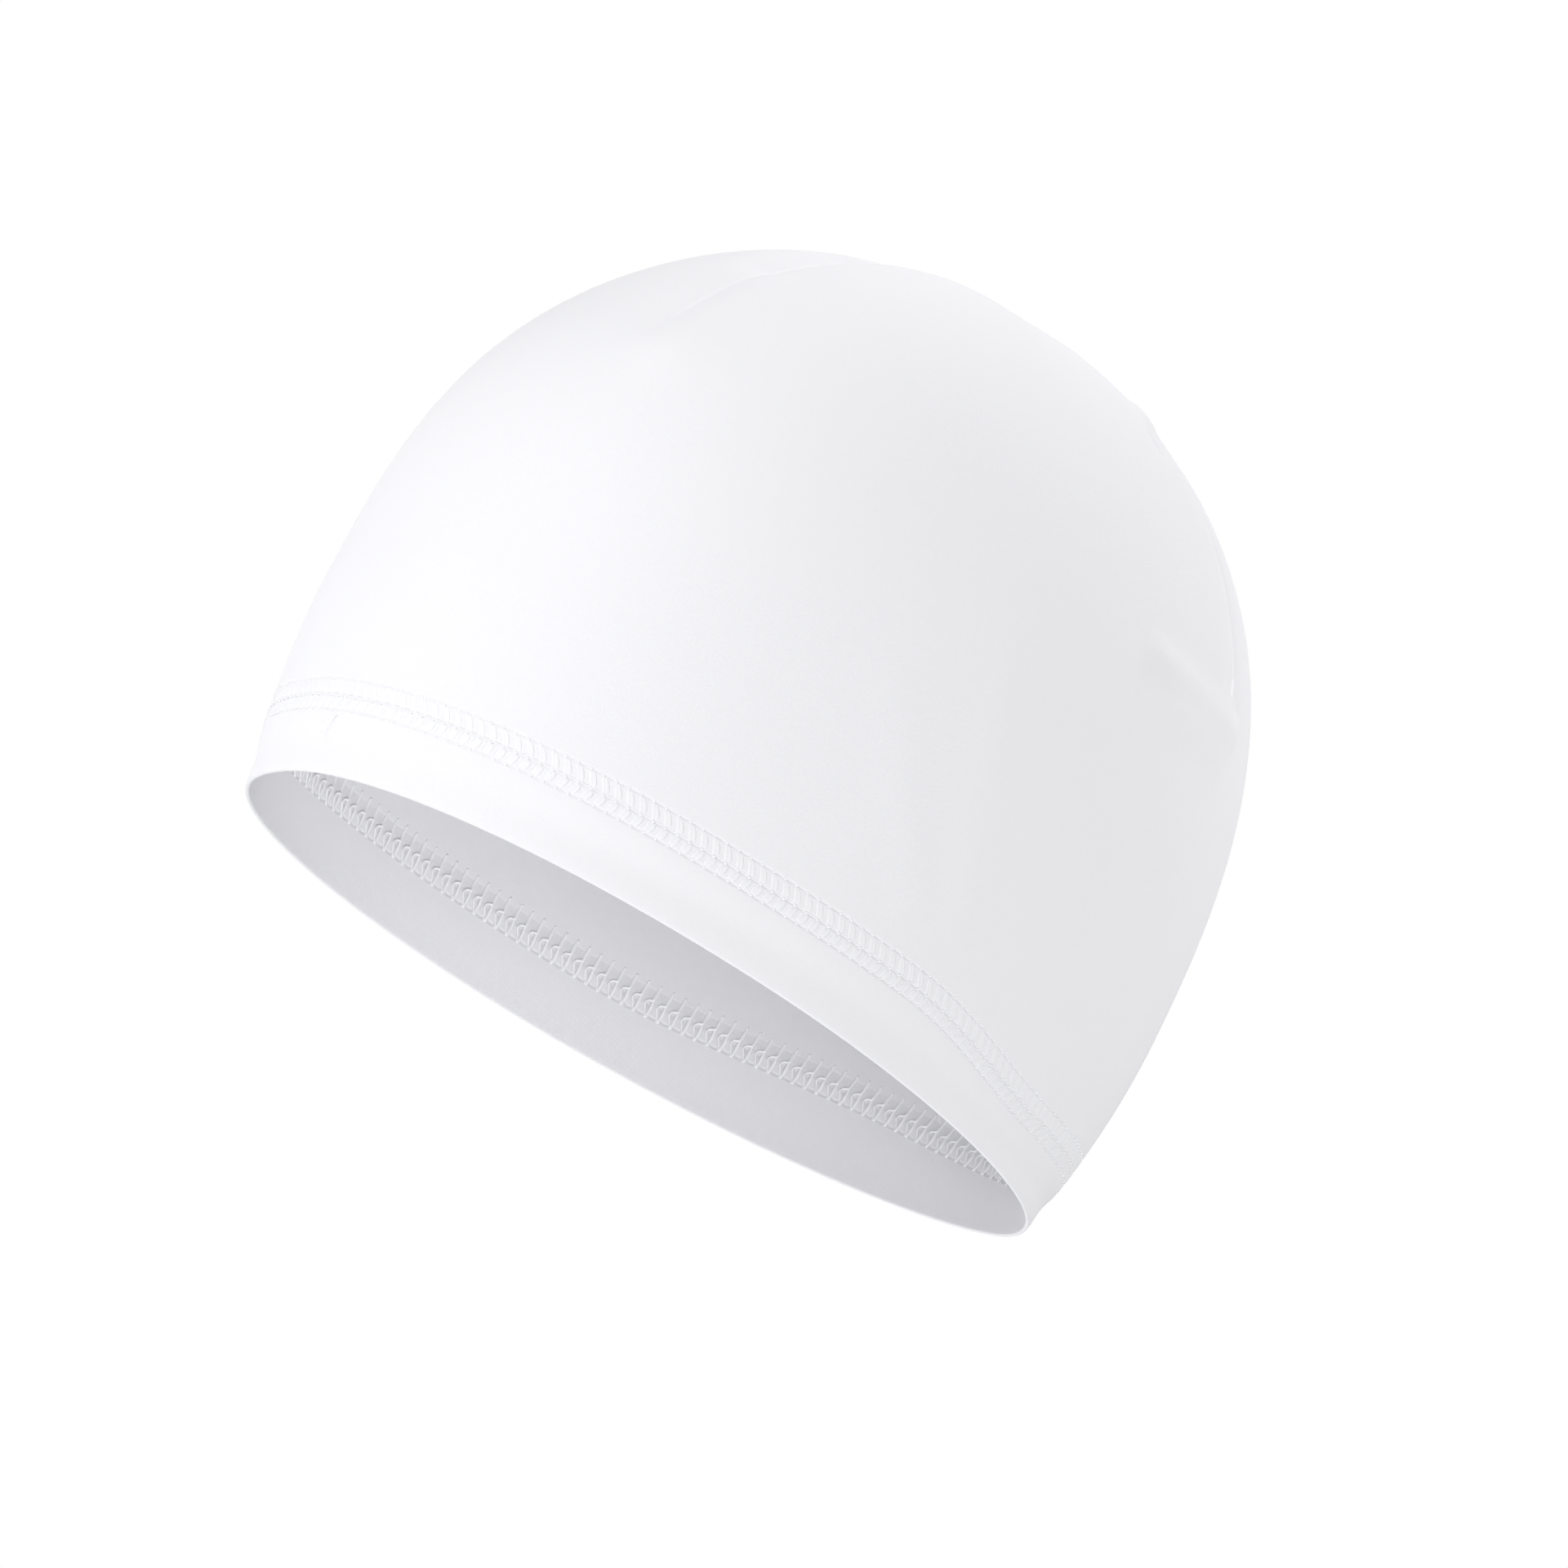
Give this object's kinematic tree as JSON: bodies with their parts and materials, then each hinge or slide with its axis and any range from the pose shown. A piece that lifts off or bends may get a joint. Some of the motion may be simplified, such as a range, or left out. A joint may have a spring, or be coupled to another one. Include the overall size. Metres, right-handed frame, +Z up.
{
  "type": "helmet liner",
  "caption": "Thin stretch-knit skull cap worn under a helmet, with four darts and a folded, cover-stitched hem.",
  "frame": {"origin": "centre of the head opening, in the plane of the rim", "axes": "+Z up through the crown, -Y towards the wearer's front, +X towards the wearer's left"},
  "size_m": [0.161, 0.2086, 0.1721],
  "materials": {
    "knit_fabric": "fine matt white stretch knit",
    "seam_thread": "white textured polyester thread, slightly brighter than the knit"
  },
  "bodies": {
    "root": {"crown": "knit_fabric", "hem_band": "knit_fabric", "dart_seam_front_left": "seam_thread", "dart_seam_back_left": "seam_thread", "dart_seam_back_right": "seam_thread", "dart_seam_front_right": "seam_thread"}
  },
  "joints": []
}
